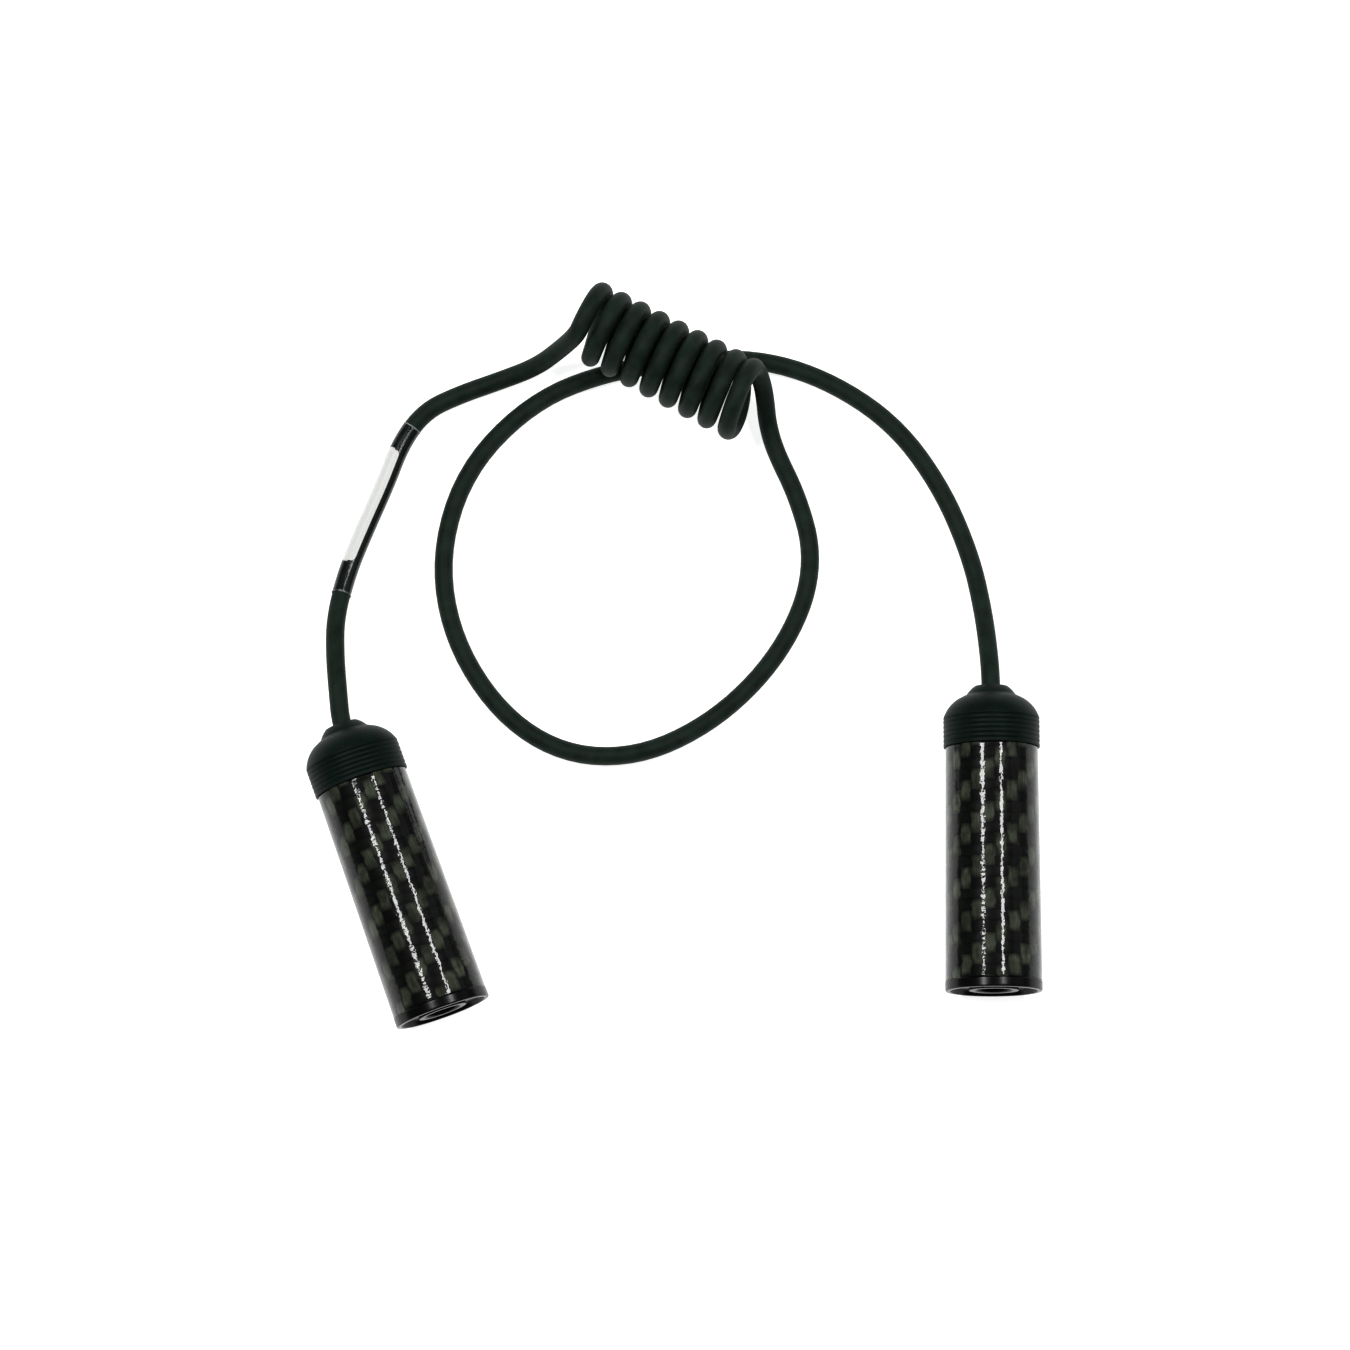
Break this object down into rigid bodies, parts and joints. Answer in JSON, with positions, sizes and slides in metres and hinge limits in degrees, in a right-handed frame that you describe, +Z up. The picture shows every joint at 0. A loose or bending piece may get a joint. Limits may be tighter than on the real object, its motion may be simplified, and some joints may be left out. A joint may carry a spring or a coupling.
{
  "type": "in-line jack dogbone cord",
  "caption": "Short cord with a curled stretch and a screw-together in-line socket at each end, each a slim carbon-fibre barrel with a ribbed domed cap.",
  "frame": {"origin": "on the table under the middle of the box round the two sockets, the cord left out", "axes": "+Z up; socket b lies along Y with its mouth towards -Y; socket a lies to the left of it, askew, with its mouth towards -Y and +X"},
  "size_m": [0.1482, 0.1532, 0.0214],
  "materials": {
    "carbon": "twill carbon fibre under a thick clear coat",
    "aluminium": "turned",
    "black_nylon": "moulded, satin",
    "fibre_paper": "vulcanised fibre",
    "nickel": "nickel plated",
    "tinned_brass": "tin plated",
    "phenolic": "moulded phenolic",
    "steel": "zinc plated",
    "spring_bronze": "rolled phosphor bronze",
    "wire_insulation": "extruded",
    "black_rubber": "moulded, matt",
    "black_pvc": "extruded, matt",
    "label_film": "clear film with a white patch"
  },
  "bodies": {
    "root": {"nose_collar_a": "black_nylon", "jack_bushing_a": "nickel", "bushing_nut_a": "nickel", "ground_frame_a": "tinned_brass", "contact_block_a": "phenolic", "block_screws_a": "steel", "solder_lugs_a": "tinned_brass", "wires_a": "wire_insulation", "cable_clamp_a": "nickel", "rear_cap_a": "black_nylon", "cable_grommet_a": "black_rubber", "cord_end_a": "black_pvc", "nose_collar_b": "black_nylon", "jack_bushing_b": "nickel", "bushing_nut_b": "nickel", "ground_frame_b": "tinned_brass", "contact_block_b": "phenolic", "block_screws_b": "steel", "solder_lugs_b": "tinned_brass", "wires_b": "wire_insulation", "cable_clamp_b": "nickel", "rear_cap_b": "black_nylon", "cable_grommet_b": "black_rubber", "cord_end_b": "black_pvc", "cord_coil": "black_pvc", "cord_lead_a": "black_pvc", "cord_loop": "black_pvc", "cable_label": "label_film"},
    "liner_a": {"liner_tube_a": "fibre_paper"},
    "barrel_a": {"carbon_sleeve_a": "carbon", "barrel_shell_a": "aluminium", "front_bezel_a": "black_nylon"},
    "tip_spring_a": {"tip_spring_a": "spring_bronze"},
    "ring_one_spring_a": {"ring_one_spring_a": "spring_bronze"},
    "ring_two_spring_a": {"ring_two_spring_a": "spring_bronze"},
    "liner_b": {"liner_tube_b": "fibre_paper"},
    "barrel_b": {"carbon_sleeve_b": "carbon", "barrel_shell_b": "aluminium", "front_bezel_b": "black_nylon"},
    "tip_spring_b": {"tip_spring_b": "spring_bronze"},
    "ring_one_spring_b": {"ring_one_spring_b": "spring_bronze"},
    "ring_two_spring_b": {"ring_two_spring_b": "spring_bronze"}
  },
  "joints": [
    {"name": "barrel_a_advance", "type": "slide", "parent": "root", "child": "liner_a", "axis": [0.3387, -0.9409, 0], "range_m": [0, 0.00452]},
    {"name": "barrel_a_turn", "type": "hinge", "parent": "liner_a", "child": "barrel_a", "pos_m": [-0.05461, -0.00803, 0.00978], "axis": [0.3387, -0.9409, 0], "range_deg": [0, 1080]},
    {"name": "tip_spring_a_flex", "type": "hinge", "parent": "root", "child": "tip_spring_a", "pos_m": [-0.05894, 0.00402, 0.01438], "axis": [-0.9409, -0.3387, 0], "range_deg": [0, 4], "stiffness_Nm_per_rad": 0.4},
    {"name": "ring_one_spring_a_flex", "type": "hinge", "parent": "root", "child": "ring_one_spring_a", "pos_m": [-0.0552, 0.00536, 0.00747], "axis": [0.4704, 0.1694, 0.866], "range_deg": [0, 2], "stiffness_Nm_per_rad": 1.5},
    {"name": "ring_two_spring_a_flex", "type": "hinge", "parent": "root", "child": "ring_two_spring_a", "pos_m": [-0.06269, 0.00267, 0.00747], "axis": [0.4704, 0.1694, -0.866], "range_deg": [0, 1.4], "stiffness_Nm_per_rad": 3},
    {"name": "barrel_b_advance", "type": "slide", "parent": "root", "child": "liner_b", "axis": [0, -1, 0], "range_m": [0, 0.00452]},
    {"name": "barrel_b_turn", "type": "hinge", "parent": "liner_b", "child": "barrel_b", "pos_m": [0.06436, -0.0023, 0.00978], "axis": [0, -1, 0], "range_deg": [0, 1080]},
    {"name": "tip_spring_b_flex", "type": "hinge", "parent": "root", "child": "tip_spring_b", "pos_m": [0.06436, 0.0105, 0.01438], "axis": [-1, 0, 0], "range_deg": [0, 4], "stiffness_Nm_per_rad": 0.4},
    {"name": "ring_one_spring_b_flex", "type": "hinge", "parent": "root", "child": "ring_one_spring_b", "pos_m": [0.06834, 0.0105, 0.00747], "axis": [0.5, 0, 0.866], "range_deg": [0, 2], "stiffness_Nm_per_rad": 1.5},
    {"name": "ring_two_spring_b_flex", "type": "hinge", "parent": "root", "child": "ring_two_spring_b", "pos_m": [0.06038, 0.0105, 0.00747], "axis": [0.5, 0, -0.866], "range_deg": [0, 1.4], "stiffness_Nm_per_rad": 3}
  ],
  "couplings": [
    {"joint": "barrel_a_advance", "follows": "barrel_a_turn", "m_per_rad": 0.00023873},
    {"joint": "barrel_b_advance", "follows": "barrel_b_turn", "m_per_rad": 0.00023873}
  ]
}
